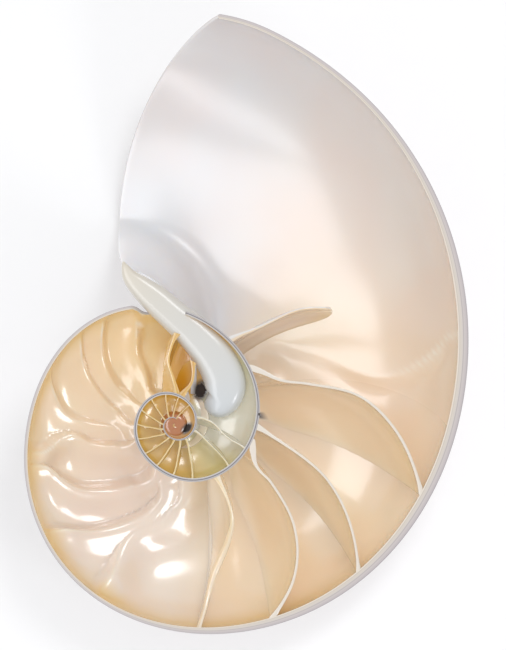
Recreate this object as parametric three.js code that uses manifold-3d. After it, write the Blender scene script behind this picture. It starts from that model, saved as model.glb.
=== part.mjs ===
// Half of a chambered nautilus shell, sawn along its plane of symmetry. Millimetres, +Z up.
//
// The shell is worked out in its coil frame: the coil axis is Z, the sawn plane is z = 0 and the shell lies
// below it. An angle along the coil grows from the first chamber out to the lip, and 0 is the +X direction
// of the last whorl. An angle round the whorl's section is 0 at the keel, in the sawn plane, 90 at the widest
// part of the flank, and goes on to the umbilicus beside the axis.
import * as THREE from "three";
import { mergeVertices } from "three/addons/utils/BufferGeometryUtils.js";
import Module from "manifold-3d";

const wasm = await Module();
wasm.setup();

// ---- driving dimensions --------------------------------------------------------------------------------

// Radius of the wall in the sawn plane, at each sixth of a turn from GROWTH_START outwards.
const GROWTH_START = -1020;
const GROWTH_STEP = 60;
const GROWTH_RADII = [
  1.6, 2.4, 3.1, 3.6, 4.6, 5.8,
  7.4, 9.7, 10.9, 12.4, 17.0, 22.1,
  27.5, 34.9, 39.4, 49.9, 60.2, 75.4,
  101.2, 127,
];

// The whorl's section, as shares of the whorl's radius: two quarter ellipses that meet at the widest part.
// Behind the lip its inner side rises to the keel of the whorl before, and the second of each pair holds
// there.
const HALF_WIDTH = 0.34;
const WIDEST_AT = [0.42, 0.5];
const INNER_END_AT = [0.08, 0.345];
const INNER_END_ANGLE = [166, 177];
const RISE_FROM = 58;
const RISE_TO = 108;

// The lip stands furthest back at the keel and leads on the flank, up to LIP_FOREMOST.
const LIP_AT_KEEL = 84;
const LIP_LEAD = 24;
const LIP_LEAD_REACH = 0.58;
const LIP_SHAPE = 0.85;
const LIP_FOREMOST = 109;
const LIP_TURN_IN = 0.012;
const LIP_TURN_IN_SPAN = 8;

// Wall thickness along the coil, as pairs of angle and millimetres.
const WALL = [
  [-1020, 0.5], [-720, 0.6], [-540, 0.9], [-380, 1.0], [-300, 0.9], [-200, 0.9],
  [-110, 1.1], [-50, 2.4], [20, 2.7], [60, 1.5], [110, 1.0],
];

// The wall of a small whorl is no thicker than this share of the whorl's radius.
const WALL_SHARE = 0.1;

// Septa of the last whorl, newest first: angle at the keel, angle at the inner whorl, how far the inner end
// hooks back, how far the outer end bellies back, and how far down the section the middle of its edge is worn
// away.
const SEPTA = [
  [16, 57, 0.0, 1.0, 0.6],
  [-16, 37, 0.25, 0, 0],
  [-39, -2, 0.1, 0, 0],
  [-63, -13, 0.3, 0, 0],
  [-84, -51, 0, 0, 0.15],
  [-114, -85, 0, 0, 0.28],
  [-142, -111, 0.1, 0, 0.32],
  [-164, -124, 0.1, 0, 0.32],
  [-182, -150, 0.1, 0, 0.28],
  [-201, -168, 0.1, 0, 0.15],
  [-220, -182, 0.2, 0, 0],
  [-235, -205, 0, 0, 0],
  [-252, -231, 0.2, 0, 0],
  [-274, -272, 0.5, 0, 0],
  [-292, -283, 0.2, 0, 0],
];
const SEPTUM_HOOK_SPAN = 0.08;
const SEPTUM_THICKNESS = 0.9;

// Septa of the inner whorls, evenly spaced.
const INNER_SEPTA_FROM = -380;
const INNER_SEPTA_TO = -690;
const INNER_SEPTA_STEP = 24;
const INNER_SEPTA_SWEEP = 24;
const INNER_SEPTA_HOOK = 0.2;
const INNER_SEPTUM_THICKNESS = 0.5;

// How far a septum leans towards the lip between the sawn plane and the flank.
const SEPTUM_LEAN = 14;

// In the measure that runs down the section, walls and septa start here, a little above the sawn plane, to be
// cut off by it, and septa end here, inside the umbilical wall.
const OVER_THE_CUT = -0.08;
const SEPTUM_DOWN_TO = 1.88;

// The ivory callus tongue: a rounded ridge from the lip's inner corner down inside the second whorl. Each
// station is x, y, half width, depth of its crest below the sawn plane, and half height.
const TONGUE = [
  [-12.2, 37.0, 4.2, 3.6, 2.6],
  [-7.4, 33.8, 3.4, 1.8, 3.4],
  [-2.4, 30.9, 3.1, 1.0, 4.0],
  [4.0, 26.1, 3.9, 1.0, 4.6],
  [9.3, 19.4, 4.9, 1.2, 5.0],
  [12.3, 13.0, 5.6, 1.5, 5.0],
  [12.5, 7.4, 6.4, 1.8, 5.0],
  [12.2, 2.6, 4.8, 2.4, 4.6],
];

// The tongue's two tips are round: how blunt they are, and the least share of its girth at their ends.
const TONGUE_BLUNTNESS = 8;
const TONGUE_TIP_SHARE = 0.05;

// The wall beside the tongue is missing between these angles of the coil: from, to, how soon it is gone, and
// how far down the section.
const TONGUE_GAP = [-277, -249, 6, 0.3];

// The callus plug that closes the umbilicus on the outside: radius and depth of its profile.
const PLUG_PROFILE = [
  [0, 0.3],
  [2.6, 0.5],
  [3.8, 2.6],
  [4.2, 5.0],
  [6.4, 7.8],
  [9.8, 10.6],
  [9.4, 11.8],
  [5.4, 13.2],
  [0, 13.8],
];
const PLUG_SIDES = 12;

// The half lies on its bulging flank with the sawn plane up, and settles with that plane tipped by these
// angles in degrees.
const REST_TILT_X = 11.25;
const REST_TILT_Y = 6.21;

// How finely the shell is faceted. The wall is made in stretches that overlap, each set a little inside the
// one before: from and to along the coil (the lip where to is null), rows, columns, and the share of the
// wall's thickness that it is set in by. Sheets have rows and columns, and the tongue sides and rings.
const WALL_STRETCHES = [
  [-276, null, 33, 10, 0],
  [-632, -270, 16, 6, 0.08],
  [-820, -624, 8, 4, 0.16],
];
const SEPTUM_FACETS = [4, 4];
const INNER_SEPTUM_FACETS = [2, 2];
const TONGUE_FACETS = [8, 8];

// Facets closer together than this, left where sheets cross, are merged.
const FINEST_FACET = 0.05;
const SAME_POINT = 1e-5;

// What the saw takes away: a block wider than the shell, standing on the sawn plane.
const SAW_SPAN = 400;
const SAW_HEIGHT = 40;

// Steps for working out a surface's slope: along the coil in degrees, down the section, and across a septum.
const ANGLE_STEP = 0.5;
const DOWN_STEP = 0.005;
const ACROSS_STEP = 0.02;

const PEARL = new THREE.MeshStandardMaterial({
  name: "nacre",
  color: 0xe9dccb,
  roughness: 0.22,
  metalness: 0.0,
});

// ---- the coil ------------------------------------------------------------------------------------------

const { abs, cos, sin, min, max, sqrt, log, exp, PI } = Math;
const radians = (degrees) => (degrees * PI) / 180;

const growth = new THREE.CubicInterpolant(
  GROWTH_RADII.map((_, i) => GROWTH_START + i * GROWTH_STEP),
  GROWTH_RADII.map((r) => log(r)),
  1,
);
const coilRadius = (angle) => exp(growth.evaluate(angle)[0]);

const wall = new THREE.CubicInterpolant(WALL.map((w) => w[0]), WALL.map((w) => w[1]), 1);
const wallThickness = (angle) => min(wall.evaluate(angle)[0], WALL_SHARE * coilRadius(angle));

// How far the inner side of the section has risen: 0 along the coil, 1 at the lip.
const rise = (angle) => THREE.MathUtils.smoothstep(angle, RISE_FROM, RISE_TO);

// Reach and depth of the whorl's section, as shares of the whorl's radius. down runs from 0 at the keel to 1
// at the widest part and 2 at the inner end.
function section(risen, down) {
  const pick = ([usual, atLip]) => usual + (atLip - usual) * risen;
  const widest = pick(WIDEST_AT);
  if (down <= 1) {
    const a = (PI / 2) * down;
    return [widest + (1 - widest) * cos(a), HALF_WIDTH * sin(a)];
  }
  const end = radians(pick(INNER_END_ANGLE) - 90);
  const b = end * (down - 1);
  return [widest - ((widest - pick(INNER_END_AT)) * sin(b)) / sin(end), HALF_WIDTH * cos(b)];
}

function lipAngle(down) {
  const [reach] = section(1, down);
  const lead = LIP_LEAD * ((1 - reach) / LIP_LEAD_REACH) ** LIP_SHAPE;
  return min(LIP_AT_KEEL + lead, LIP_FOREMOST);
}

// A point of the wall's outer face. down is as in section, and under 0 above the sawn plane.
function wallPoint(angle, down) {
  const [reach, depth] = section(rise(angle), down);
  const toLip = max(0, angle - lipAngle(down) + LIP_TURN_IN_SPAN) / LIP_TURN_IN_SPAN;
  const keel = max(0, 1 - 2 * abs(down));
  const r = coilRadius(angle) * (1 - LIP_TURN_IN * keel * toLip * toLip);
  const a = radians(angle);
  return new THREE.Vector3(r * reach * cos(a), r * reach * sin(a), -r * depth);
}

// Unit normal of a surface given as a function of two numbers, by small steps along each.
function normalAt(surface, u, v, stepU, stepV) {
  const alongU = surface(u + stepU, v).sub(surface(u - stepU, v));
  const alongV = surface(u, v + stepV).sub(surface(u, v - stepV));
  return alongU.cross(alongV).normalize();
}

// A point in the wall, at a share of its thickness in from the outer face.
function inWall(angle, down, share) {
  const normal = normalAt(wallPoint, angle, down, ANGLE_STEP, DOWN_STEP);
  return wallPoint(angle, down).addScaledVector(normal, share * wallThickness(angle));
}

// ---- solids --------------------------------------------------------------------------------------------

// A closed solid from a list of points and triangles, turned so that its faces point out.
function closedSolid(points, triangles) {
  let volume = 0;
  const corner = new THREE.Vector3();
  for (const [a, b, c] of triangles) {
    volume += points[a].dot(corner.crossVectors(points[b], points[c]));
  }
  const facing = volume > 0 ? triangles : triangles.map(([a, b, c]) => [a, c, b]);
  return new wasm.Manifold(new wasm.Mesh({
    numProp: 3,
    vertProperties: new Float32Array(points.flatMap((p) => p.toArray())),
    triVerts: new Uint32Array(facing.flat()),
  }));
}

// A closed solid from a three.js geometry.
function geometrySolid(geometry) {
  const bare = geometry.toNonIndexed();
  bare.deleteAttribute("normal");
  bare.deleteAttribute("uv");
  const merged = mergeVertices(bare, SAME_POINT);
  return new wasm.Manifold(new wasm.Mesh({
    numProp: 3,
    vertProperties: new Float32Array(merged.attributes.position.array),
    triVerts: new Uint32Array(merged.index.array),
  }));
}

// A sheet between two faces, each a grid of points with rows along one way and columns along the other.
function sheet(frontFace, backFace) {
  const rows = frontFace.length;
  const columns = frontFace[0].length;
  const points = [...frontFace.flat(), ...backFace.flat()];
  const front = (i, j) => i * columns + j;
  const back = (i, j) => rows * columns + front(i, j);
  const triangles = [];
  const quad = (a, b, c, d) => triangles.push([a, b, c], [a, c, d]);
  for (let i = 0; i + 1 < rows; i++) {
    for (let j = 0; j + 1 < columns; j++) {
      quad(front(i, j), front(i, j + 1), front(i + 1, j + 1), front(i + 1, j));
      quad(back(i, j), back(i + 1, j), back(i + 1, j + 1), back(i, j + 1));
    }
    quad(front(i, 0), front(i + 1, 0), back(i + 1, 0), back(i, 0));
    quad(front(i, columns - 1), back(i, columns - 1), back(i + 1, columns - 1), front(i + 1, columns - 1));
  }
  for (let j = 0; j + 1 < columns; j++) {
    quad(front(0, j), back(0, j), back(0, j + 1), front(0, j + 1));
    quad(front(rows - 1, j), front(rows - 1, j + 1), back(rows - 1, j + 1), back(rows - 1, j));
  }
  return closedSolid(points, triangles);
}

const grid = (rows, columns, at) =>
  Array.from({ length: rows + 1 }, (_, i) =>
    Array.from({ length: columns + 1 }, (_, j) => at(i / rows, j / columns)));

// Where the top of the wall stands: over the saw cut, except in the gap that the tongue fills.
function wallTop(angle) {
  const smooth = THREE.MathUtils.smoothstep;
  const [from, to, ease, depth] = TONGUE_GAP;
  const open = smooth(angle, from, from + ease) * (1 - smooth(angle, to - ease, to));
  return OVER_THE_CUT + (depth - OVER_THE_CUT) * open;
}

// The wall from one angle of the coil to another, or to the lip.
function wallSolid([from, to, rows, columns, inset]) {
  const place = (i, j, share) => {
    const flankDown = OVER_THE_CUT + (2 - OVER_THE_CUT) * j;
    const angle = from + ((to ?? lipAngle(flankDown)) - from) * i;
    const top = wallTop(angle);
    return inWall(angle, top + (2 - top) * j, share);
  };
  return sheet(
    grid(rows, columns, (i, j) => place(i, j, inset)),
    grid(rows, columns, (i, j) => place(i, j, 1 - inset)),
  );
}

// A septum, from the inner whorl (across = 0) to the keel (across = 1), and down from the sawn plane.
function septumSolid([atKeel, atInner, hook, belly, worn], thickness, [rows, columns]) {
  const middle = (across, down) => {
    const inside = min(1, max(0, across));
    const hooked = hook * (1 - inside) ** 2 * (1 - exp(-inside / SEPTUM_HOOK_SPAN));
    const share = inside + hooked + belly * sin(PI * inside) * inside ** 3;
    const lean = SEPTUM_LEAN * (1 - cos((PI / 2) * down));
    const angle = atInner + (atKeel - atInner) * share + lean;
    return inWall(angle - 360, down, 0.5).lerp(inWall(angle, down, 0.5), across);
  };
  const place = (i, j, side) => {
    const top = worn > 0 ? OVER_THE_CUT + (worn - OVER_THE_CUT) * sin(PI * i) ** 2 : OVER_THE_CUT;
    const down = top + (SEPTUM_DOWN_TO - top) * j;
    const normal = normalAt(middle, i, down, ACROSS_STEP, DOWN_STEP);
    return middle(i, down).addScaledVector(normal, (side * thickness) / 2);
  };
  return sheet(
    grid(rows, columns, (i, j) => place(i, j, 1)),
    grid(rows, columns, (i, j) => place(i, j, -1)),
  );
}

// The tongue: rings of an ellipse along its centre line, closed by a point at each end.
function tongueSolid([sides, rings]) {
  const line = new THREE.CatmullRomCurve3(TONGUE.map(([x, y]) => new THREE.Vector3(x, y, 0)));
  const girth = new THREE.CatmullRomCurve3(TONGUE.map(([, , ...size]) => new THREE.Vector3(...size)));
  const points = [];
  const triangles = [];
  const centre = (t) => {
    const { y: depth, z: halfHeight } = girth.getPoint(t);
    return line.getPoint(t).setZ(-depth - halfHeight);
  };
  for (let i = 0; i <= rings; i++) {
    const t = i / rings;
    const swell = sqrt(max(TONGUE_TIP_SHARE, 1 - (2 * t - 1) ** TONGUE_BLUNTNESS));
    const heading = line.getTangent(t);
    const side = new THREE.Vector3(heading.y, -heading.x, 0).normalize();
    for (let k = 0; k < sides; k++) {
      const a = (2 * PI * k) / sides;
      const { x: halfWidth, z: halfHeight } = girth.getPoint(t);
      const point = centre(t).addScaledVector(side, halfWidth * swell * cos(a));
      point.z += halfHeight * swell * sin(a);
      points.push(point);
    }
  }
  for (let i = 0; i < rings; i++) {
    for (let k = 0; k < sides; k++) {
      const next = (k + 1) % sides;
      const [a, b] = [i * sides + k, i * sides + next];
      triangles.push([a, b, b + sides], [a, b + sides, a + sides]);
    }
  }
  const ends = [points.length, points.length + 1];
  points.push(centre(0), centre(1));
  for (let k = 0; k < sides; k++) {
    const next = (k + 1) % sides;
    triangles.push([ends[0], next, k], [ends[1], rings * sides + k, rings * sides + next]);
  }
  return closedSolid(points, triangles);
}

// The plug is a lathed dome, turned so that its axis is the coil's.
function plugSolid() {
  const profile = PLUG_PROFILE.map(([r, depth]) => new THREE.Vector2(r, -depth)).reverse();
  const lathe = new THREE.LatheGeometry(profile, PLUG_SIDES);
  lathe.rotateX(PI / 2);
  return geometrySolid(lathe);
}

// ---- the shell -----------------------------------------------------------------------------------------

const innerSepta = [];
for (let atKeel = INNER_SEPTA_FROM; atKeel >= INNER_SEPTA_TO; atKeel -= INNER_SEPTA_STEP) {
  innerSepta.push([atKeel, atKeel + INNER_SEPTA_SWEEP, INNER_SEPTA_HOOK, 0, 0]);
}

const solids = [
  ...WALL_STRETCHES.map(wallSolid),
  plugSolid(),
  ...SEPTA.map((septum) => septumSolid(septum, SEPTUM_THICKNESS, SEPTUM_FACETS)),
  ...innerSepta.map((septum) => septumSolid(septum, INNER_SEPTUM_THICKNESS, INNER_SEPTUM_FACETS)),
  tongueSolid(TONGUE_FACETS),
];
const whole = solids.reduce((joined, solid) => joined.add(solid));

const saw = new THREE.BoxGeometry(SAW_SPAN, SAW_SPAN, SAW_HEIGHT);
saw.translate(0, 0, SAW_HEIGHT / 2);
const sawn = whole.subtract(geometrySolid(saw)).simplify(FINEST_FACET);

// Small pockets sealed in where sheets meet are bodies of negative volume here. Keeping only the shell's own
// body fills them.
const [shell] = sawn.decompose().sort((a, b) => b.volume() - a.volume());
const { vertProperties, triVerts } = shell.getMesh();
const geometry = new THREE.BufferGeometry();
geometry.setAttribute("position", new THREE.BufferAttribute(new Float32Array(vertProperties), 3));
geometry.setIndex(new THREE.BufferAttribute(new Uint32Array(triVerts), 1));
geometry.computeVertexNormals();

const nautilus = new THREE.Mesh(geometry, PEARL);
nautilus.name = "nautilus_shell_half";
nautilus.rotation.set(radians(REST_TILT_X), radians(REST_TILT_Y), 0);

// The origin is the middle of the foot of the settled shell's box.
const box = new THREE.Box3().setFromObject(nautilus, true);
const middle = box.getCenter(new THREE.Vector3());
nautilus.position.set(-middle.x, -middle.y, -box.min.z);

const model = new THREE.Group();
model.add(nautilus);

export default model;
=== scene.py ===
import math

import bmesh
import bpy
import numpy as np
from mathutils import Matrix, Vector


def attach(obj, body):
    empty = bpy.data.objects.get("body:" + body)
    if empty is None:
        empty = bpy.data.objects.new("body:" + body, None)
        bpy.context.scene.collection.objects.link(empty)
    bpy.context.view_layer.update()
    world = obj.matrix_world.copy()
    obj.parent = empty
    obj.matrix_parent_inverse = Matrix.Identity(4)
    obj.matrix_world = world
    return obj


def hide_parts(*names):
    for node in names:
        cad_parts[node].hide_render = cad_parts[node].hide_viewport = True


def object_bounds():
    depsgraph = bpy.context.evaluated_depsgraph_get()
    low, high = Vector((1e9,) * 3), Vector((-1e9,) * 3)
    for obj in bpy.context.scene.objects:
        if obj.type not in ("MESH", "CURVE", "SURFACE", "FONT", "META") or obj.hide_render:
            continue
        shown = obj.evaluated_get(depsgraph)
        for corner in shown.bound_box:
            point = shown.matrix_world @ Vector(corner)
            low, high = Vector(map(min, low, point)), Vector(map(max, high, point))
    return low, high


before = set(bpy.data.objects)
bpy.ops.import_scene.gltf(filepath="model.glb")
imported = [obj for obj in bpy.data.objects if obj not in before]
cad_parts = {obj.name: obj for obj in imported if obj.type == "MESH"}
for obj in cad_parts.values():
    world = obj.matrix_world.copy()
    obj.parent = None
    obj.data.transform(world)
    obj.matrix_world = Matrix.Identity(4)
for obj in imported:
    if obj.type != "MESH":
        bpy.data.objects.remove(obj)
cad_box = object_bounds()
NODE = "nautilus_shell_half"
MM = 0.001

# ---- the coil, as in the solid -----------------------------------------------------------------------------

# The whorl's radius every GROWTH_STEP degrees. The shell itself starts a little later, at COIL_FROM.
GROWTH_START = -1020
GROWTH_STEP = 60
GROWTH_RADII = [
    1.6, 2.4, 3.1, 3.6, 4.6, 5.8,
    7.4, 9.7, 10.9, 12.4, 17.0, 22.1,
    27.5, 34.9, 39.4, 49.9, 60.2, 75.4,
    101.2, 127,
]
COIL_FROM = -1000

# Shares of the whorl's radius, first along the coil and then at the lip.
HALF_WIDTH = 0.34
WIDEST_AT = (0.42, 0.5)
INNER_END_AT = (0.08, 0.345)
INNER_END_ANGLE = (166, 177)
RISE_FROM = 58
RISE_TO = 108

# The lip's edge: its angle at the keel, and how far it leads that towards the axis.
LIP_AT_KEEL = 84
LIP_LEAD = 24
LIP_LEAD_REACH = 0.58
LIP_SHAPE = 0.85
LIP_FOREMOST = 109
LIP_TURN_IN = 0.012
LIP_TURN_IN_SPAN = 8

# Wall thickness: angle along the coil, millimetres.
WALL = [
    (-1020, 0.5), (-720, 0.6), (-540, 0.9), (-380, 1.0), (-300, 0.9), (-200, 0.9),
    (-110, 1.1), (-50, 2.4), (20, 2.7), (60, 1.5), (110, 1.0),
]
# The wall is never thicker than this share of the whorl's radius.
WALL_SHARE = 0.1

# Septa of the last whorl, newest first. Each has stations along its sawn edge: how far it is from the inner
# whorl to the keel, the angle there, and how far down the section the edge is worn away.
SEPTA = [
    [(0, 57, 0), (0.1, 50, 0.02), (0.31, 42, 0.03), (0.42, 36.5, 0.06), (0.47, 34, 0.5), (0.5, 33, 1.3)],
    [(0, 37, 0), (0.1, 24, 0), (0.23, 17.4, 0), (0.51, 8.4, 0), (0.73, -1.7, 0), (1, -16, 0)],
    [(0, -1.3, 0), (0.12, -8, 0), (0.5, -20.5, 0), (1, -39, 0)],
    [(0, -12.6, 0), (0.08, -25, 0), (0.23, -31, 0), (0.54, -41, 0), (0.82, -53, 0), (1, -63.6, 0)],
    [(0, -51, 0), (0.17, -55, 0), (0.3, -59, 0.08), (0.45, -66, 0.2), (0.7, -77, 0.25), (1, -83.6, 0)],
    [(0, -275, 0), (0.16, -268.7, 0), (0.34, -264.5, 0), (0.56, -267.8, 0), (0.74, -272, 0.06)],
    [(0, -283, 0), (0.2, -291.5, 0), (0.48, -286.5, 0.06)],
]
# Septa worn down to low waves on the wall. For each, its height as a share of the whorl's radius, and the
# crest's course: how far down the section, and the angle there.
WAVES = [
    (0.02, [(0.2, 17), (0.4, 13.5), (0.55, 12), (0.7, 13.5), (0.85, 22), (1, 34), (1.3, 52)]),
    (0.075, [(0, -114.4), (0.4, -113.5), (0.78, -111), (0.96, -96), (1.12, -88.5), (1.4, -84)]),
    (0.085, [(0, -142), (0.39, -135), (0.66, -124), (0.79, -117), (0.985, -105), (1.18, -103), (1.32, -106)]),
    (0.085, [
        (0, -165), (0.39, -161), (0.51, -155), (0.65, -147),
        (0.81, -139), (0.99, -128), (1.19, -119), (1.35, -114),
    ]),
    (0.075, [
        (0, -169), (0.39, -170), (0.53, -173.5), (0.69, -174.5),
        (0.82, -168), (1.08, -160), (1.27, -157),
    ]),
    (0.045, [(0.1, -203), (0.2, -199.4), (0.4, -192.5), (0.58, -185), (1, -178), (1.3, -174)]),
    (0.06, [
        (0, -225), (0.2, -221.6), (0.4, -216.3), (0.56, -211.2),
        (0.78, -202.7), (0.98, -193.5), (1.3, -178.6),
    ]),
    (0.06, [(0, -238), (0.2, -234.4), (0.5, -226.8), (0.71, -219), (0.9, -212.5), (1.26, -207.2)]),
    (0.05, [(0, -257), (0.22, -254.4), (0.55, -247.7), (0.76, -241.9), (0.96, -239.6), (1.25, -231.7)]),
]
# A wave's width at half depth on its older side and on the lip's side, as shares of the whorl's radius.
WAVE_WIDTHS = (0.035, 0.13)
WAVE_SLOPE_REACH = 0.9
# Where down the section a wave rises from the keel, and over how much it dies away past its course's end.
WAVE_RISES = (0, 0.38)
WAVE_DIES_OVER = 0.5
# A crest's pale line: half its width, as a share of the whorl's radius, and where down the section it
# fades.
CREST_LINE = 0.009
CREST_LINE_FADES = (0.3, 0.75)
SEPTUM_THICKNESS = 0.5
# Degrees by which a septum leans towards the lip on its way down, and how far down it goes.
SEPTUM_LEAN = 14
SEPTUM_DOWN_TO = 1.88

# Septa of the inner whorls: angle at the keel. They sweep back on their way in.
INNER_SEPTA = [-398, -433, -453, -475, -497, -520, -542, -565, -589, -615, -640, -668]
INNER_SEPTUM_SWEEP = 22
NEWEST_INNER_SEPTUM = [(0, -341, 0), (0.25, -356, 0), (0.55, -372, 0), (1, -379, 0)]
INNER_SEPTUM_THICKNESS = 0.2

# The callus tongue's stations: x, y, half width, depth of the crest below the sawn plane, half height.
TONGUE = [
    (-13.9, 43.6, 1.0, 1.0, 2.0),
    (-12.2, 39.8, 2.2, 0.8, 3.0),
    (-9.2, 36.8, 3.2, 0.6, 3.8),
    (-5.3, 33.5, 3.9, 0.5, 4.4),
    (-0.7, 29.4, 4.2, 0.5, 4.8),
    (4.6, 24.8, 4.7, 0.5, 5.2),
    (10.2, 18.6, 5.5, 0.5, 5.6),
    (13.0, 13.2, 5.7, 0.6, 5.6),
    (13.2, 9.2, 5.6, 0.6, 5.6),
    (11.4, 5.9, 4.9, 0.8, 5.4),
    (7.9, 4.4, 3.5, 1.0, 5.0),
]
TONGUE_BLUNTNESS = 8
TONGUE_SQUARENESS = 3.2
# The wall is lower under the tongue: from and to which angle, over how many degrees it drops, how far down.
TONGUE_GAP = (-277, -249, 6, 0.3)

# The umbilical plug's profile: radius, depth below the sawn plane. Its top is nacre, down to CORE_DEPTH.
PLUG_PROFILE = [
    (0, 0.3), (2.6, 0.5), (3.8, 2.6), (4.2, 5.0), (6.4, 7.8),
    (9.8, 10.6), (9.4, 11.8), (5.4, 13.2), (0, 13.8),
]
CORE_DEPTH = 4.0

# Degrees by which the half tips from a level sawn face to how it rests on its flank.
REST_TILT_X = 11.25
REST_TILT_Y = 6.21


def smooth_table(at, table):
    """A smooth curve through a table's points, straight past its ends."""
    xs, ys = np.array(table, float).T
    at = np.clip(at, xs[0], xs[-1])
    i = np.clip(np.searchsorted(xs, at, side="right") - 1, 0, len(xs) - 2)
    before = np.where(i == 0, i + 1, i - 1)
    after = np.where(i == len(xs) - 2, i, np.minimum(i + 2, len(xs) - 1))
    half = (xs[i + 1] - xs[i]) / 2
    back = half / (xs[i] - xs[before])
    on = half / (xs[after] - xs[i + 1])
    p = (at - xs[i]) / (2 * half)
    return (
        ys[before] * (-back * p**3 + 2 * back * p**2 - back * p)
        + ys[i] * ((1 + back) * p**3 - (1.5 + 2 * back) * p**2 + (back - 0.5) * p + 1)
        + ys[i + 1] * ((1.5 + on) * p**2 - (1 + on) * p**3 + 0.5 * p)
        + ys[after] * (on * p**3 - on * p**2)
    )


def smoothstep(at, low, high):
    t = np.clip((at - low) / (high - low), 0, 1)
    return t * t * (3 - 2 * t)


GROWTH = [(GROWTH_START + i * GROWTH_STEP, math.log(r)) for i, r in enumerate(GROWTH_RADII)]


def coil_radius(angle):
    return np.exp(smooth_table(angle, GROWTH))


def wall_thickness(angle):
    return np.minimum(smooth_table(angle, WALL), WALL_SHARE * coil_radius(angle))


def section(risen, down):
    """Reach and depth of the whorl's section, as shares of the whorl's radius."""
    widest, inner, end = (a + (b - a) * risen for a, b in (WIDEST_AT, INNER_END_AT, INNER_END_ANGLE))
    end = np.radians(end - 90)
    outer_turn = np.pi / 2 * down
    inner_turn = end * (down - 1)
    near_keel = widest + (1 - widest) * np.cos(outer_turn)
    near_axis = widest - (widest - inner) * np.sin(inner_turn) / np.sin(end)
    reach = np.where(down <= 1, near_keel, near_axis)
    depth = HALF_WIDTH * np.where(down <= 1, np.sin(outer_turn), np.cos(inner_turn))
    return reach, depth


def lip_angle(down):
    reach, _ = section(1.0, down)
    lead = LIP_LEAD * (np.maximum(1 - reach, 0) / LIP_LEAD_REACH) ** LIP_SHAPE
    return np.minimum(LIP_AT_KEEL + lead, LIP_FOREMOST)


def wall_point(angle, down):
    """A point of the wall's outer face."""
    reach, depth = section(smoothstep(angle, RISE_FROM, RISE_TO), down)
    to_lip = np.maximum(0, angle - lip_angle(down) + LIP_TURN_IN_SPAN) / LIP_TURN_IN_SPAN
    keel = np.maximum(0, 1 - 2 * np.abs(down))
    r = coil_radius(angle) * (1 - LIP_TURN_IN * keel * to_lip**2)
    a = np.radians(angle)
    return np.stack([r * reach * np.cos(a), r * reach * np.sin(a), -r * depth], -1)


# Steps along a surface that its normals are measured over, for the wall and for a septum's sheet.
WALL_STEPS = (0.5, 0.005)
SHEET_STEPS = (0.01, 0.005)


def normal_at(surface, u, v, step_u, step_v):
    along_u = surface(u + step_u, v) - surface(u - step_u, v)
    along_v = surface(u, v + step_v) - surface(u, v - step_v)
    n = np.cross(along_u, along_v)
    return n / np.maximum(np.linalg.norm(n, axis=-1, keepdims=True), 1e-12)


def in_wall(angle, down, share):
    """A point in the wall, at a share of its thickness in from the outer face."""
    inward = normal_at(wall_point, angle, down, *WALL_STEPS)
    return wall_point(angle, down) + inward * (share * wall_thickness(angle))[..., None]


# ---- meshes ------------------------------------------------------------------------------------------------

REST_TURN = (
    Matrix.Rotation(math.radians(REST_TILT_X), 3, "X")
    @ Matrix.Rotation(math.radians(REST_TILT_Y), 3, "Y")
)
REST_ROWS = np.array(REST_TURN)
# The last whorl, which is all that the shell's size depends on.
LAST_WHORL = (-276, 110)


def fit_to_solid():
    """The scale and the move that take the coil frame, turned to rest, into the row frame. They are found
    from the solid's box."""
    angle, down = np.meshgrid(np.linspace(*LAST_WHORL, 800), np.linspace(0, 2, 120), indexing="ij")
    points = wall_point(np.minimum(angle, lip_angle(down)), down) @ REST_ROWS.T
    low, high = points.reshape(-1, 3).min(0), points.reshape(-1, 3).max(0)
    cad_low, cad_high = (np.array(corner) / MM for corner in cad_box)
    scale = ((cad_high - cad_low) / (high - low)).min()
    shift = (cad_low + cad_high - scale * (low + high)) / 2
    shift[2] = cad_low[2] - scale * low[2]
    return scale, shift


SCALE, SHIFT = fit_to_solid()


def to_row(points):
    return (np.asarray(points, float) @ REST_ROWS.T * SCALE + SHIFT) * MM


def loft(rings, face_materials, closed_ends=True):
    """Vertices, faces and a material for each face, of a tube through rings of points (rows, points, 3).
    The rings are symmetrical sheets' outlines, so that each end closes by joining point k to its opposite."""
    rows, count = rings.shape[:2]
    last = rows - 1

    def at(i, k):
        return i * count + k % count

    faces = []
    materials = []
    for i in range(last):
        for k in range(count):
            faces.append((at(i, k), at(i, k + 1), at(i + 1, k + 1), at(i + 1, k)))
            materials.append(face_materials[k])
    if closed_ends:
        for k in range(count // 2 - 1):
            opposite = count - 1 - k
            faces.append((at(0, k), at(0, opposite), at(0, opposite - 1), at(0, k + 1)))
            faces.append((at(last, k), at(last, k + 1), at(last, opposite - 1), at(last, opposite)))
            materials += [face_materials[count // 2]] * 2
    return rings.reshape(-1, 3), faces, materials


# A face whose points are all darkened more than this takes the dark patches' own material.
FULLY_DARKENED = 0.9


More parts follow.
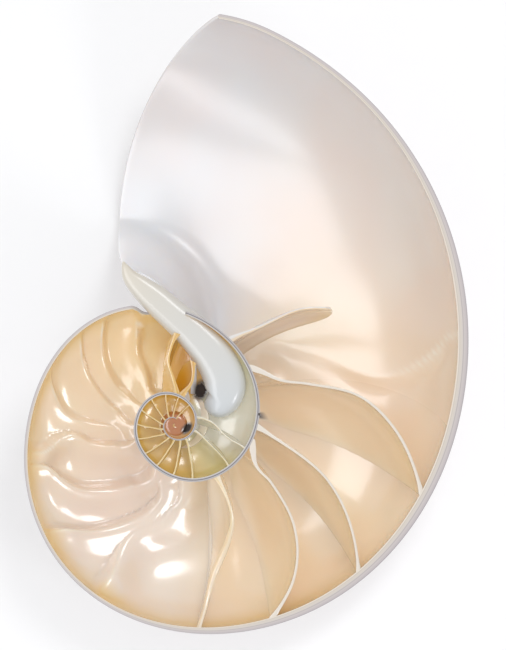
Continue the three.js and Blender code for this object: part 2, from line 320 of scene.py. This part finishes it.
def add_piece(name, parts, materials, crease=40):
    """One mesh object of several closed bodies. Each part is vertices in the coil frame, faces, the material
    number of each face, and values that the materials read, by name."""
    points, faces, numbers = [], [], []
    values = {}
    start = 0
    for vertices, part_faces, part_numbers, part_values in parts:
        points.append(vertices)
        faces += [tuple(start + v for v in face) for face in part_faces]
        numbers += part_numbers
        for key, value in part_values.items():
            values.setdefault(key, []).append(np.asarray(value, float).ravel())
        start += len(vertices)
    mesh = bpy.data.meshes.new(name)
    mesh.from_pydata(to_row(np.concatenate(points)).tolist(), [], faces)
    for material in materials:
        mesh.materials.append(material)
    if "shade_and_dark_marks" in values:
        darkened = np.concatenate(values["shade_and_dark_marks"]) > FULLY_DARKENED
        mesh.materials.append(DARK_PATCH_MATERIAL)
        numbers = [len(materials) if darkened[list(face)].all() else n for face, n in zip(faces, numbers)]
    mesh.polygons.foreach_set("material_index", numbers)
    for key, value in values.items():
        mesh.attributes.new(key, "FLOAT", "POINT").data.foreach_set("value", np.concatenate(value))
    piece = bpy.data.objects.new(name, mesh)
    bpy.context.scene.collection.objects.link(piece)
    bpy.context.view_layer.objects.active = piece
    turn_out(mesh)
    mesh.polygons.foreach_set("use_smooth", [True] * len(mesh.polygons))
    mesh.set_sharp_from_angle(angle=math.radians(crease))
    mesh.validate()
    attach(piece, "root")
    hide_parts(NODE)
    return piece


def turn_out(mesh):
    """Turns the faces of each closed body outwards."""
    work = bmesh.new()
    work.from_mesh(mesh)
    bmesh.ops.recalc_face_normals(work, faces=work.faces)
    work.to_mesh(mesh)
    work.free()


# ---- materials ---------------------------------------------------------------------------------------------


def linear(hex_colour):
    """An sRGB hex colour as linear red, green, blue, alpha."""
    channels = [int(hex_colour[i : i + 2], 16) / 255 for i in (0, 2, 4)]
    return [c / 12.92 if c <= 0.04045 else ((c + 0.055) / 1.055) ** 2.4 for c in channels] + [1.0]


def add(tree, kind, values=None, links=None, **settings):
    """A node with its settings, the values of its sockets and what is linked into them."""
    made = tree.nodes.new(kind)
    for key, value in settings.items():
        setattr(made, key, value)
    for socket, value in (values or {}).items():
        made.inputs[socket].default_value = value
    for socket, source in (links or {}).items():
        tree.links.new(source, made.inputs[socket])
    return made


def new_material(name):
    material = bpy.data.materials.new(name)
    material.use_nodes = True
    material.node_tree.nodes.clear()
    return material, material.node_tree


# A colour mix node's sockets, by number, as several share a name.
FACTOR, FIRST, SECOND, MIXED = 0, 6, 7, 2


def blended(tree, factor, first, second):
    """The colour between two, each a hex colour or a socket."""
    values, links = {}, {}
    for socket, given in ((FACTOR, factor), (FIRST, first), (SECOND, second)):
        if isinstance(given, str):
            values[socket] = linear(given)
        elif isinstance(given, (int, float)):
            values[socket] = given
        else:
            links[socket] = given
    return add(tree, "ShaderNodeMix", values, links, data_type="RGBA").outputs[MIXED]


def attribute(tree, name):
    return add(tree, "ShaderNodeAttribute", attribute_name=name).outputs["Fac"]


# The nacre's colour along the coil, by angle, from the first chamber to the lip. The last stop, past the lip,
# is reached only by the painted light on the body chamber's far wall.
NACRE_COLOURS = [
    (COIL_FROM, "AE6C38"), (-780, "BC8840"), (-700, "C0964C"), (-640, "CAA048"), (-560, "D2B05C"),
    (-450, "D2B66C"), (-400, "CABF8A"), (-380, "D0CCB8"), (-340, "D2CEBA"), (-318, "CCC49E"),
    (-302, "D2A650"), (-284, "CC9424"), (-270, "D6AC48"), (-248, "E6CA96"), (-216, "E6D0AA"),
    (-170, "E4D2B8"), (-140, "E3D4C4"), (-92, "E7DACC"), (-66, "EAD9BC"), (-20, "EADBC0"),
    (12, "E6D6BE"), (36, "DFD4C8"), (52, "DBD3CC"), (80, "D3D2D3"), (110, "D5D7DA"), (140, "F2F2F4"),
]
GROWTH_FROM, GROWTH_TO = NACRE_COLOURS[0][0], NACRE_COLOURS[-1][0]


def mother_of_pearl(name, gloss):
    """Mother of pearl, laid down in sheets and polished by nature: a soft deep sheen under a clear bright
    gloss, white in the body chamber, peach to amber in the gas chambers and olive in the oldest. Thin as it
    is, it lets light soak through. The gas chambers shine more than the chamber where the animal moved."""
    material, tree = new_material(name)
    place = add(tree, "ShaderNodeTexCoord").outputs["Object"]
    # Faint clouds of pink, about 26 mm across.
    cloud = add(tree, "ShaderNodeTexNoise", {"Scale": 1 / (26 * MM), "Detail": 1.0}, {"Vector": place})
    middle = {"From Min": 0.35, "From Max": 0.65}
    tint = add(tree, "ShaderNodeMapRange", middle, {"Value": cloud.outputs["Fac"]})
    limits = {"From Min": GROWTH_FROM, "From Max": GROWTH_TO}
    grown = add(tree, "ShaderNodeMapRange", limits, {"Value": attribute(tree, "growth")})
    along = add(tree, "ShaderNodeValToRGB", links={"Fac": grown.outputs["Result"]})
    paint(along, [((angle - GROWTH_FROM) / (GROWTH_TO - GROWTH_FROM), hue) for angle, hue in NACRE_COLOURS])
    blush = blended(tree, tint.outputs["Result"], "FFFFFF", "FFF8F5")
    blushed = add(
        tree,
        "ShaderNodeMix",
        {FACTOR: 1.0},
        {FIRST: along.outputs["Color"], SECOND: blush},
        data_type="RGBA",
        blend_type="MULTIPLY",
    )
    colour = blushed.outputs[MIXED]
    # Paler: the pale line along a worn crest, and painted sheen on a septum's lip side near its edge.
    colour = blended(tree, attribute(tree, "pale"), colour, "EADFCC")
    # Golden: the band near the keel, and painted shade on a septum's older side under its edge.
    colour = blended(tree, attribute(tree, "golden"), colour, "DDBE84")
    # Dark brown patches: painted shade in the deep hole by the callus tongue, and two small dark marks.
    colour = blended(tree, attribute(tree, "shade_and_dark_marks"), colour, "2A1B12")
    shader = add(
        tree,
        "ShaderNodeBsdfPrincipled",
        {
            "IOR": 1.6,
            "Coat IOR": 1.8,
            "Subsurface Weight": 0.3,
            "Subsurface Radius": (1.0, 0.8, 0.6),
            "Subsurface Scale": 3 * MM,
            **gloss,
        },
        {"Base Color": colour},
    )
    add(tree, "ShaderNodeOutputMaterial", links={"Surface": shader.outputs["BSDF"]})
    return material


def paint(ramp_node, stops):
    """Sets a ramp's stops: place from 0 to 1, colour."""
    elements = ramp_node.color_ramp.elements
    elements[0].position, elements[0].color = stops[0][0], linear(stops[0][1])
    elements[1].position, elements[1].color = stops[-1][0], linear(stops[-1][1])
    for position, hue in stops[1:-1]:
        elements.new(position).color = linear(hue)


# A sawn wall's layers, from the outer face in: share of the thickness, colour.
SAWN_LAYERS = [
    (0, "938B8E"), (0.1, "B9B1B2"), (0.4, "C6BEBB"), (0.48, "ACA4A3"), (0.54, "CCC4BD"), (0.78, "D0C7BB"),
    (0.84, "C0B6AB"), (0.9, "DCD3C6"), (1, "DFD6CA"),
]
SAWN_INNER_LAYERS = [
    (0, "A7A3A3"), (0.3, "BDB9B8"), (0.42, "68646A"), (0.55, "757076"), (0.7, "B6B2B1"), (1, "CCC8C0"),
]


def sawn_shell(name, layers):
    """A wall sawn through and polished: ivory with fine darker lines that follow its layers, and a thin grey
    skin at the outer face."""
    material, tree = new_material(name)
    ramp = add(tree, "ShaderNodeValToRGB", links={"Fac": attribute(tree, "through")})
    paint(ramp, layers)
    shader = add(
        tree,
        "ShaderNodeBsdfPrincipled",
        {"Roughness": 0.35, "IOR": 1.55, "Coat Weight": 0.5, "Coat Roughness": 0.15},
        {"Base Color": ramp.outputs["Color"]},
    )
    add(tree, "ShaderNodeOutputMaterial", links={"Surface": shader.outputs["BSDF"]})
    return material


def umber_shade_and_marks():
    """Dull and nearly black, in the oldest hollows: painted shade in the deep hole, and two small dark marks.
    """
    material, tree = new_material("umber_shade_and_marks")
    place = add(tree, "ShaderNodeTexCoord").outputs["Object"]
    # Mottled about every 1.5 mm.
    mottle = add(tree, "ShaderNodeTexNoise", {"Scale": 1 / (1.5 * MM), "Detail": 2.0}, {"Vector": place})
    colour = blended(tree, mottle.outputs["Fac"], "120D0A", "33221A")
    shader = add(tree, "ShaderNodeBsdfPrincipled", {"Roughness": 0.7}, {"Base Color": colour})
    add(tree, "ShaderNodeOutputMaterial", links={"Surface": shader.outputs["BSDF"]})
    return material


def outer_pearl():
    """The outside, ground down to its pearl layer and polished."""
    material, tree = new_material("outer_pearl")
    place = add(tree, "ShaderNodeTexCoord").outputs["Object"]
    # Clouds about 14 mm across.
    cloud = add(tree, "ShaderNodeTexNoise", {"Scale": 1 / (14 * MM), "Detail": 3.0}, {"Vector": place})
    colour = blended(tree, cloud.outputs["Fac"], "DAD6D6", "E9DFDA")
    shader = add(
        tree,
        "ShaderNodeBsdfPrincipled",
        {"Roughness": 0.3, "IOR": 1.6, "Coat Weight": 0.5, "Coat Roughness": 0.1},
        {"Base Color": colour},
    )
    add(tree, "ShaderNodeOutputMaterial", links={"Surface": shader.outputs["BSDF"]})
    return material


def callus():
    """Callus, the dense white deposit round the coil's mouth: ivory like glazed china."""
    material, tree = new_material("callus")
    along = attribute(tree, "along")
    colour = blended(tree, along, "D6CEBE", "C8CDD1")
    shader = add(
        tree,
        "ShaderNodeBsdfPrincipled",
        {"Roughness": 0.3, "IOR": 1.55, "Coat Weight": 0.7, "Coat Roughness": 0.1},
        {"Base Color": colour},
    )
    add(tree, "ShaderNodeOutputMaterial", links={"Surface": shader.outputs["BSDF"]})
    return material


DARK_PATCH_MATERIAL = umber_shade_and_marks()
NACRE = mother_of_pearl("gas_chamber_nacre", {"Roughness": 0.24, "Coat Weight": 1.0, "Coat Roughness": 0.13})
PEARL = mother_of_pearl("body_chamber_pearl", {"Roughness": 0.3, "Coat Weight": 1.0, "Coat Roughness": 0.2})
SAWN = sawn_shell("sawn_wall", SAWN_LAYERS)
SAWN_INNER = sawn_shell("sawn_inner_wall", SAWN_INNER_LAYERS)
OUTSIDE = outer_pearl()
CALLUS = callus()

# ---- the shell ---------------------------------------------------------------------------------------------

# Dark brown patches: x, y, how long, how wide, which way the long axis points. The first is painted shade in
# the deep hole between the callus tongue and the inner whorl; the other two are small dark marks.
SHADE_AND_DARK_MARKS = [(6.9, 9.2, 3.6, 2.5, 65), (22.7, 2.6, 1.6, 0.8, 100), (3.2, -0.9, 2.2, 1.3, 50)]
# A patch's soft edge, as shares of its size.
DARK_PATCH_EDGE = (0.55, 1.1)


def shade_and_dark_marks(points):
    deepest = np.zeros(points.shape[:-1])
    for x, y, long, wide, turned in SHADE_AND_DARK_MARKS:
        c, s = math.cos(math.radians(turned)), math.sin(math.radians(turned))
        dx, dy = points[..., 0] - x, points[..., 1] - y
        off = np.hypot((dx * c + dy * s) / long, (dy * c - dx * s) / wide)
        deepest = np.maximum(deepest, 1 - smoothstep(off, *DARK_PATCH_EDGE))
    return deepest


# The body chamber's inside ripples gently: how deep, in millimetres, the angles over which that comes and
# goes, and how far down it starts. Each wave has a height, its turns along and down the wall, and a phase.
RIPPLE = 0.35
RIPPLE_COMES, RIPPLE_GOES, RIPPLE_STARTS = (25, 55), (92, 106), (0.08, 0.4)
RIPPLE_WAVES = [(1, 9, 4, 0), (0.7, -6, 5, 1.3), (0.5, 13, -7, 0)]


def ripple(angle, down):
    """Millimetres by which the body chamber's inside waves in and out."""
    here = smoothstep(angle, *RIPPLE_COMES) * (1 - smoothstep(angle, *RIPPLE_GOES))
    here = here * smoothstep(down, *RIPPLE_STARTS)
    radians = np.radians(angle)
    wave = sum(
        height * np.sin(along * radians + across * down + phase)
        for height, along, across, phase in RIPPLE_WAVES
    )
    return RIPPLE * here * wave / sum(height for height, *_ in RIPPLE_WAVES)


def worn_waves(angle, down):
    """Height of the worn septa's waves on the wall's inner face, as a share of the whorl's radius, and how
    far a place is on the pale line of a crest."""
    height = np.zeros(angle.shape)
    line = np.zeros(angle.shape)
    reach, _ = section(0.0, down)
    for high, course in WAVES:
        crest = smooth_table(down, course)
        slope = np.radians(smooth_table(down + 0.01, course) - smooth_table(down - 0.01, course)) / 0.02
        off = np.radians(angle - crest) * reach / np.sqrt(1 + (slope * reach / WAVE_SLOPE_REACH) ** 2)
        width = np.where(off < 0, *WAVE_WIDTHS)
        last = course[-1][0]
        here = smoothstep(down, *WAVE_RISES) * (1 - smoothstep(down, last, last + WAVE_DIES_OVER))
        height = np.maximum(height, high * np.exp(-((off / width) ** 2)) * here)
        fading = 1 - smoothstep(down, *CREST_LINE_FADES)
        line = np.maximum(line, np.exp(-((off / CREST_LINE) ** 2)) * fading)
    return height, line


# How fast the wall's rows follow the coil: share of the rows, share of the way from the first chamber to the
# lip.
ROW_PACE = [(0, 0), (0.22, 0.54), (0.35, 0.70), (0.70, 0.84), (1, 1)]
# The last share of the way is the lip's rounded edge.
LIP_SHARE = 0.0003
# Under the last septum the colour lags behind, by this many degrees of growth: where down the section, and
# the angles over which that comes and goes.
LAG = 26
LAG_DOWN, LAG_COMES, LAG_GOES = (0.4, 1), (0, 15), (45, 80)
# Painted light: the far wall of the body chamber is made the whitest, standing in for the light it catches:
# degrees of growth ahead, where down, and from which angles.
PAINTED_LIGHT_GROWTH = 30
PAINTED_LIGHT_DOWN, PAINTED_LIGHT_COMES = (1, 1.5), (50, 75)
# The gas chambers are golden near the keel: degrees back along the coil over which that comes and goes, and
# where down the section it fades.
GOLDEN_COMES, GOLDEN_GOES, GOLDEN_FADES = (20, 60), (230, 262), (0.08, 0.34)
# A newer whorl covers the wall before this angle, and the animal lived in front of the other.
COVERED_BEFORE = -252
LIVED_IN_FROM = 22
TURN = 360
# The wall's materials, by number.
IN_NACRE, IN_SAWN, IN_OUTSIDE, IN_SAWN_INNER, IN_PEARL = range(5)


def wall_piece():
    """The coiled wall as one sheet, wound from the first chamber to the lip."""
    rows, columns, rim, lip_rows = 760, 56, 6, 6
    quarter = np.radians(np.linspace(0, 80, lip_rows + 1))[1:]
    paced = np.interp(np.linspace(0, 1, rows + 1), *zip(*ROW_PACE))
    along = np.concatenate([(1 - LIP_SHARE) * paced, 1 - LIP_SHARE * (1 - np.sin(quarter))])
    squeeze = np.concatenate([np.ones(rows + 1), np.cos(quarter)])
    face = np.linspace(0, 2, columns + 1)
    down = np.concatenate([face[::-1], np.zeros(rim - 1), face])
    share = np.concatenate([np.zeros(columns + 1), np.linspace(0, 1, rim + 1)[1:-1], np.ones(columns + 1)])
    down, start = np.meshgrid(down, along, indexing="xy")
    share = 0.5 + (share[None, :] - 0.5) * squeeze[:, None]
    angle = COIL_FROM + (lip_angle(down) - COIL_FROM) * start
    gap_from, gap_to, ease, depth = TONGUE_GAP
    gap = smoothstep(angle, gap_from, gap_from + ease) * (1 - smoothstep(angle, gap_to - ease, gap_to))
    down = depth * gap + (2 - depth * gap) * down / 2
    rings = in_wall(angle, down, share)
    waves, crest_line = worn_waves(angle, down)
    waves *= coil_radius(angle) * (1 - gap)
    inside = np.maximum(share - 0.5, 0) * 2
    raised = inside * (waves + ripple(angle, down))
    rings += normal_at(wall_point, angle, down, *WALL_STEPS) * raised[..., None]
    numbers = [IN_OUTSIDE] * columns + [IN_SAWN] * rim + [IN_NACRE] * (columns + 1)
    vertices, faces, materials = loft(rings, numbers)
    # The outer face of an inner whorl is the floor of the chambers wound round it.
    buried = angle[:, 0] < COVERED_BEFORE
    for row in range(len(along) - 1):
        if buried[row]:
            start = row * len(numbers)
            materials[start : start + columns] = [IN_NACRE] * columns
            materials[start + columns : start + columns + rim] = [IN_SAWN_INNER] * rim
        elif angle[row, 0] > LIVED_IN_FROM:
            lived_in = row * len(numbers) + columns + rim
            materials[lived_in : lived_in + columns] = [IN_PEARL] * columns
    outer = (share < 0.5) & (angle < COVERED_BEFORE)
    chambers = smoothstep(-angle, *GOLDEN_COMES) * (1 - smoothstep(-angle, *GOLDEN_GOES))
    lagging = smoothstep(angle, *LAG_COMES) * (1 - smoothstep(angle, *LAG_GOES))
    lag = LAG * smoothstep(down, *LAG_DOWN) * lagging
    # Painted light: the far wall is shifted along the colour ramp towards white.
    white = PAINTED_LIGHT_GROWTH * smoothstep(down, *PAINTED_LIGHT_DOWN) * smoothstep(angle, *PAINTED_LIGHT_COMES)
    values = {
        "growth": np.where(outer, angle + TURN, angle - lag + white),
        "pale": crest_line * (share > 0.5),
        "golden": chambers * (1 - smoothstep(down, *GOLDEN_FADES)) * (share > 0.5),
        "through": share,
        "shade_and_dark_marks": shade_and_dark_marks(rings),
    }
    skins = [NACRE, SAWN, OUTSIDE, SAWN_INNER, PEARL]
    return add_piece("shell_wall", [(vertices, faces, materials, values)], skins)


# A septum thickens where it joins the walls: by how much of its thickness, and over how many millimetres.
INNER_FLARE = (1.1, 2.4)
OUTER_FLARE = (0.7, 1.4)
# How round its sawn edge is, how much rounder and thicker where it is worn away, and how deep in the walls
# its sides are, as a share of their thickness.
CREST_ROUNDING = 0.006
WORN_ROUNDING = 0.1
WORN_THICKENING = 1.6
JOINED = 0.07
# Where a septum slants it takes up more of the coil's angle, up to 1 / LEAST_SLANT times as much.
LEAST_SLANT = 0.45
# A septum's two sides are coloured as the wall is this many degrees of growth away.
LIP_SIDE_GROWTH = 6
LAST_LIP_SIDE_GROWTH = 34
OLD_SIDE_GROWTH = -6
# Painted light near a septum's edge: how pale the lip's side is near a sawn and a worn edge, a painted sheen
# where its steep face catches the light; how golden the older side, a painted shade under the edge; and how
# far down.
EDGE_PAINTED_SHEEN, WORN_EDGE_PAINTED_SHEEN, EDGE_PAINTED_SHADE, EDGE_FADES = 0.4, 0.25, 0.5, (0, 0.55)
# Which of a sawn wall's layers a septum's sawn edge looks like.
EDGE_LAYER = 0.95
# The septa's materials, by number.
ON_NACRE, ON_SAWN, ON_PEARL = range(3)


def septum_part(
    stations, thickness, rows, columns, lip_growth=LIP_SIDE_GROWTH, lip_face=ON_NACRE, sawn=ON_SAWN
):
    """One septum as a closed sheet. Both faces run from wall to wall, and thicken where they meet them."""
    rim = 6
    worn_away = [(place, worn) for place, _, worn in stations]
    edge = [(place, angle) for place, angle, _ in stations]
    is_worn = max(worn for _, worn in worn_away) > 0.05

    def sheet(across, down, turned=0.0):
        lean = SEPTUM_LEAN * (1 - np.cos(np.pi / 2 * down))
        angle = smooth_table(across, edge) + lean + turned
        inner = in_wall(angle - TURN, down, JOINED)
        return inner + (in_wall(angle, down, 1 - JOINED) - inner) * across[..., None]

    end = stations[-1][0]
    u = np.linspace(0, 1, rows + 1)
    across = end * (0.5 * (0.5 - 0.5 * np.cos(np.pi * u)) + 0.5 * u)
    deeper = np.linspace(0, 1, columns + 1) ** 1.5
    side = np.concatenate([np.ones(columns + 1), np.linspace(1, -1, rim + 1)[1:-1], -np.ones(columns + 1)])
    deeper = np.concatenate([deeper[::-1], np.zeros(rim - 1), deeper])
    deeper, across = np.meshgrid(deeper, across, indexing="xy")
    side = np.broadcast_to(side, deeper.shape)
    top = 0.002 + np.maximum(smooth_table(across, worn_away), 0)
    rounding = CREST_ROUNDING + WORN_ROUNDING * top
    top = top + rounding * (1 - np.sqrt(1 - side**2))
    down = top + (SEPTUM_DOWN_TO - top) * deeper
    mid = sheet(across, down)
    normal = normal_at(sheet, across, down, *SHEET_STEPS)
    radius = np.maximum(np.hypot(mid[..., 0], mid[..., 1]), 1.0)
    tangent = np.stack([-mid[..., 1], mid[..., 0], np.zeros_like(radius)], -1) / radius[..., None]
    slant = np.maximum(np.abs((normal * tangent).sum(-1)), LEAST_SLANT)
    wall_to_wall = sheet(np.ones_like(across), down) - sheet(np.zeros_like(across), down)
    span = np.linalg.norm(wall_to_wall, axis=-1)
    flare = INNER_FLARE[0] * np.exp(-across * span / INNER_FLARE[1])
    flare += OUTER_FLARE[0] * np.exp(-(end - across) * span / OUTER_FLARE[1])
    half = thickness * (0.5 + flare * smoothstep(span, 2, 12)) * (1 + 0.5 * smoothstep(down, 0, 0.5))
    half *= 1 + WORN_THICKENING * np.minimum(top / 0.3, 1) * (1 - smoothstep(down, 0.4, 0.9))
    turned = np.degrees(side * half / (radius * slant))
    rings = sheet(across, down, turned)
    angle = smooth_table(across, edge)
    numbers = [lip_face] * columns + [lip_face if is_worn else sawn] * rim + [ON_NACRE] * (columns + 1)
    vertices, faces, materials = loft(rings, numbers)
    near_edge = 1 - smoothstep(down - top, *EDGE_FADES)
    values = {
        "growth": angle + np.where(side > 0, lip_growth, OLD_SIDE_GROWTH),
        # Painted light: a paler sheen on the lip's side near the edge, and golden shade on the older side
        # under it.
        "pale": (WORN_EDGE_PAINTED_SHEEN if is_worn else EDGE_PAINTED_SHEEN) * near_edge * (side > 0),
        "golden": EDGE_PAINTED_SHADE * (side < 0) * near_edge,
        "through": np.full(across.shape, EDGE_LAYER),
        "shade_and_dark_marks": shade_and_dark_marks(rings),
    }
    return vertices, faces, materials, values


def inner_septum_stations(at_keel):
    """An inner septum's stations, swept back on its way in from the keel."""
    sweep = INNER_SEPTUM_SWEEP
    return [(0, at_keel + sweep, 0), (0.3, at_keel + 0.5 * sweep, 0), (1, at_keel, 0)]


def septa_pieces():
    """The last whorl's septa, and the finer ones of the whorls inside it, which are too thin to show a sawn
    edge."""
    newest, *others = SEPTA
    parts = [septum_part(septum, SEPTUM_THICKNESS, 80, 30) for septum in others]
    parts.append(septum_part(newest, SEPTUM_THICKNESS, 110, 30, LAST_LIP_SIDE_GROWTH, ON_PEARL))
    add_piece("septa", parts, [NACRE, SAWN, PEARL])
    thin = {"thickness": INNER_SEPTUM_THICKNESS, "columns": 14, "sawn": ON_NACRE}
    inner = [septum_part(inner_septum_stations(at), rows=18, **thin) for at in INNER_SEPTA]
    inner.append(septum_part(NEWEST_INNER_SEPTUM, rows=24, **thin))
    add_piece("inner_septa", inner, [NACRE])


def tongue_piece():
    """The callus tongue: a broad smooth ridge that grows out of the lip's inner corner."""
    rings, sides = 110, 56
    stations = np.array(TONGUE, float)
    t = np.linspace(0, len(TONGUE) - 1, rings + 1)
    x, y, half_width, crest, half_height = (
        smooth_table(t, list(enumerate(stations[:, column]))) for column in range(5)
    )
    u = t / t[-1]
    swell = np.maximum(0.0004, 1 - np.abs(2 * u - 1) ** TONGUE_BLUNTNESS) ** 0.5
    heading = np.stack([np.gradient(x), np.gradient(y)], -1)
    heading /= np.linalg.norm(heading, axis=-1, keepdims=True)
    a = np.linspace(0, 2 * np.pi, sides, endpoint=False)
    power = 2 / TONGUE_SQUARENESS
    across = (half_width * swell)[:, None] * np.sign(np.cos(a)) * np.abs(np.cos(a)) ** power
    up = (half_height * swell)[:, None] * np.sign(np.sin(a)) * np.abs(np.sin(a)) ** power
    points = np.stack(
        [
            x[:, None] + heading[:, 1:2] * across,
            y[:, None] - heading[:, 0:1] * across,
            (-crest - half_height)[:, None] + up,
        ],
        -1,
    )
    vertices, faces, materials = loft(points, [0] * sides, closed_ends=False)
    faces.append(tuple(range(sides)))
    faces.append(tuple(range(rings * sides, (rings + 1) * sides)))
    materials += [0, 0]
    values = {"along": np.repeat(u, sides)}
    add_piece("callus_tongue", [(vertices, faces, materials, values)], [CALLUS])


def plug_piece():
    """The callus plug that closes the umbilicus on the outside, and fills the first turn of the coil."""
    sides = 48
    profile = np.array(PLUG_PROFILE, float)
    fine = np.linspace(0, len(profile) - 1, 40)
    r = np.maximum(smooth_table(fine, list(enumerate(profile[:, 0]))), 0.001)
    depth = smooth_table(fine, list(enumerate(profile[:, 1])))
    a = np.linspace(0, 2 * np.pi, sides, endpoint=False)
    z = np.broadcast_to(-depth[:, None], (len(r), sides))
    points = np.stack([r[:, None] * np.cos(a), r[:, None] * np.sin(a), z], -1)
    vertices, faces, materials = loft(points, [0] * sides, closed_ends=False)
    core_rows = int((depth < CORE_DEPTH).sum())
    materials[: core_rows * sides] = [1] * (core_rows * sides)
    faces.append(tuple(range(sides)))
    faces.append(tuple(range((len(r) - 1) * sides, len(r) * sides)))
    materials += [1, 0]
    values = {
        "along": np.zeros(len(vertices)),
        "growth": np.full(len(vertices), float(COIL_FROM)),
        "pale": np.zeros(len(vertices)),
        "golden": np.zeros(len(vertices)),
        "shade_and_dark_marks": shade_and_dark_marks(points),
    }
    add_piece("umbilical_plug", [(vertices, faces, materials, values)], [CALLUS, NACRE])


wall_piece()
septa_pieces()
tongue_piece()
plug_piece()

# ---- the setting -------------------------------------------------------------------------------------------

# What the camera takes in, in millimetres: the middle of its view in the coil frame, and the view's height.
VIEW_CENTRE = (20.8, 26.6)
VIEW_HEIGHT = 173
# The lens and the sensor's longer side, in millimetres. A long lens from far off keeps the coil undistorted.
LENS = 300
SENSOR = 36


def camera():
    """Looks straight down on the sawn face, with the lip upwards."""
    data = bpy.data.cameras.new("camera")
    data.lens = LENS
    data.sensor_width = SENSOR
    piece = bpy.data.objects.new("camera", data)
    bpy.context.scene.collection.objects.link(piece)
    distance = VIEW_HEIGHT * LENS / SENSOR
    piece.matrix_world = Matrix.Translation(Vector(to_row([*VIEW_CENTRE, distance]))) @ REST_TURN.to_4x4()
    data.clip_start = 0.05
    data.clip_end = 5
    bpy.context.scene.camera = piece


def floor():
    """A wide board painted matt white."""
    mesh = bpy.data.meshes.new("floor")
    half = 1.5
    corners = [(-half, -half, 0), (half, -half, 0), (half, half, 0), (-half, half, 0)]
    mesh.from_pydata(corners, [], [(0, 1, 2, 3)])
    board = bpy.data.objects.new("floor", mesh)
    bpy.context.scene.collection.objects.link(board)
    material, tree = new_material("painted_board")
    shader = add(tree, "ShaderNodeBsdfPrincipled", {"Base Color": linear("F4F4F4"), "Roughness": 0.8})
    add(tree, "ShaderNodeOutputMaterial", links={"Surface": shader.outputs["BSDF"]})
    mesh.materials.append(material)


# The lamps stand this many metres from the point of the coil frame that they aim at.
LAMP_COLOUR = "FAFBFF"
LAMP_DISTANCE = 0.9
LAMPS_AIM = (20, 20, 0)
TENT_STRENGTH = 0.65


def softbox(name, shape, direction, width, height, power, shadows=True):
    """A soft light aimed at the shell. The direction and the long side, along y, are in the coil frame."""
    data = bpy.data.lights.new(name, "AREA")
    data.shape = shape
    data.size = width
    data.size_y = height
    data.energy = power
    data.color = linear(LAMP_COLOUR)[:3]
    data.use_shadow = shadows
    lamp = bpy.data.objects.new(name, data)
    bpy.context.scene.collection.objects.link(lamp)
    back = (REST_TURN @ Vector(direction)).normalized()
    side = (REST_TURN @ Vector((0, 1, 0))).cross(back).normalized()
    turned = Matrix((side, back.cross(side), back)).transposed()
    lamp.matrix_world = Matrix.Translation(Vector(to_row(LAMPS_AIM)) + back * LAMP_DISTANCE) @ turned.to_4x4()


def light():
    """A white tent with four softboxes: a long one and a strip on the left, small ones right and above."""
    world = bpy.data.worlds.new("tent")
    bpy.context.scene.world = world
    world.use_nodes = True
    tent = world.node_tree.nodes["Background"]
    tent.inputs["Color"].default_value = linear("FFFFFF")
    tent.inputs["Strength"].default_value = TENT_STRENGTH
    softbox("key_softbox", "RECTANGLE", (-0.52, 0.06, 0.85), 0.42, 1.0, 2.9, shadows=False)
    softbox("strip_softbox", "RECTANGLE", (-0.5, -0.68, 0.54), 0.1, 0.5, 0.45, shadows=False)
    softbox("right_softbox", "ELLIPSE", (0.6, -0.45, 0.66), 0.26, 0.3, 1.1)
    softbox("top_softbox", "ELLIPSE", (0.3, 0.52, 0.8), 0.4, 0.3, 1.5)


camera()
floor()
light()
bpy.context.scene.view_settings.view_transform = "Standard"
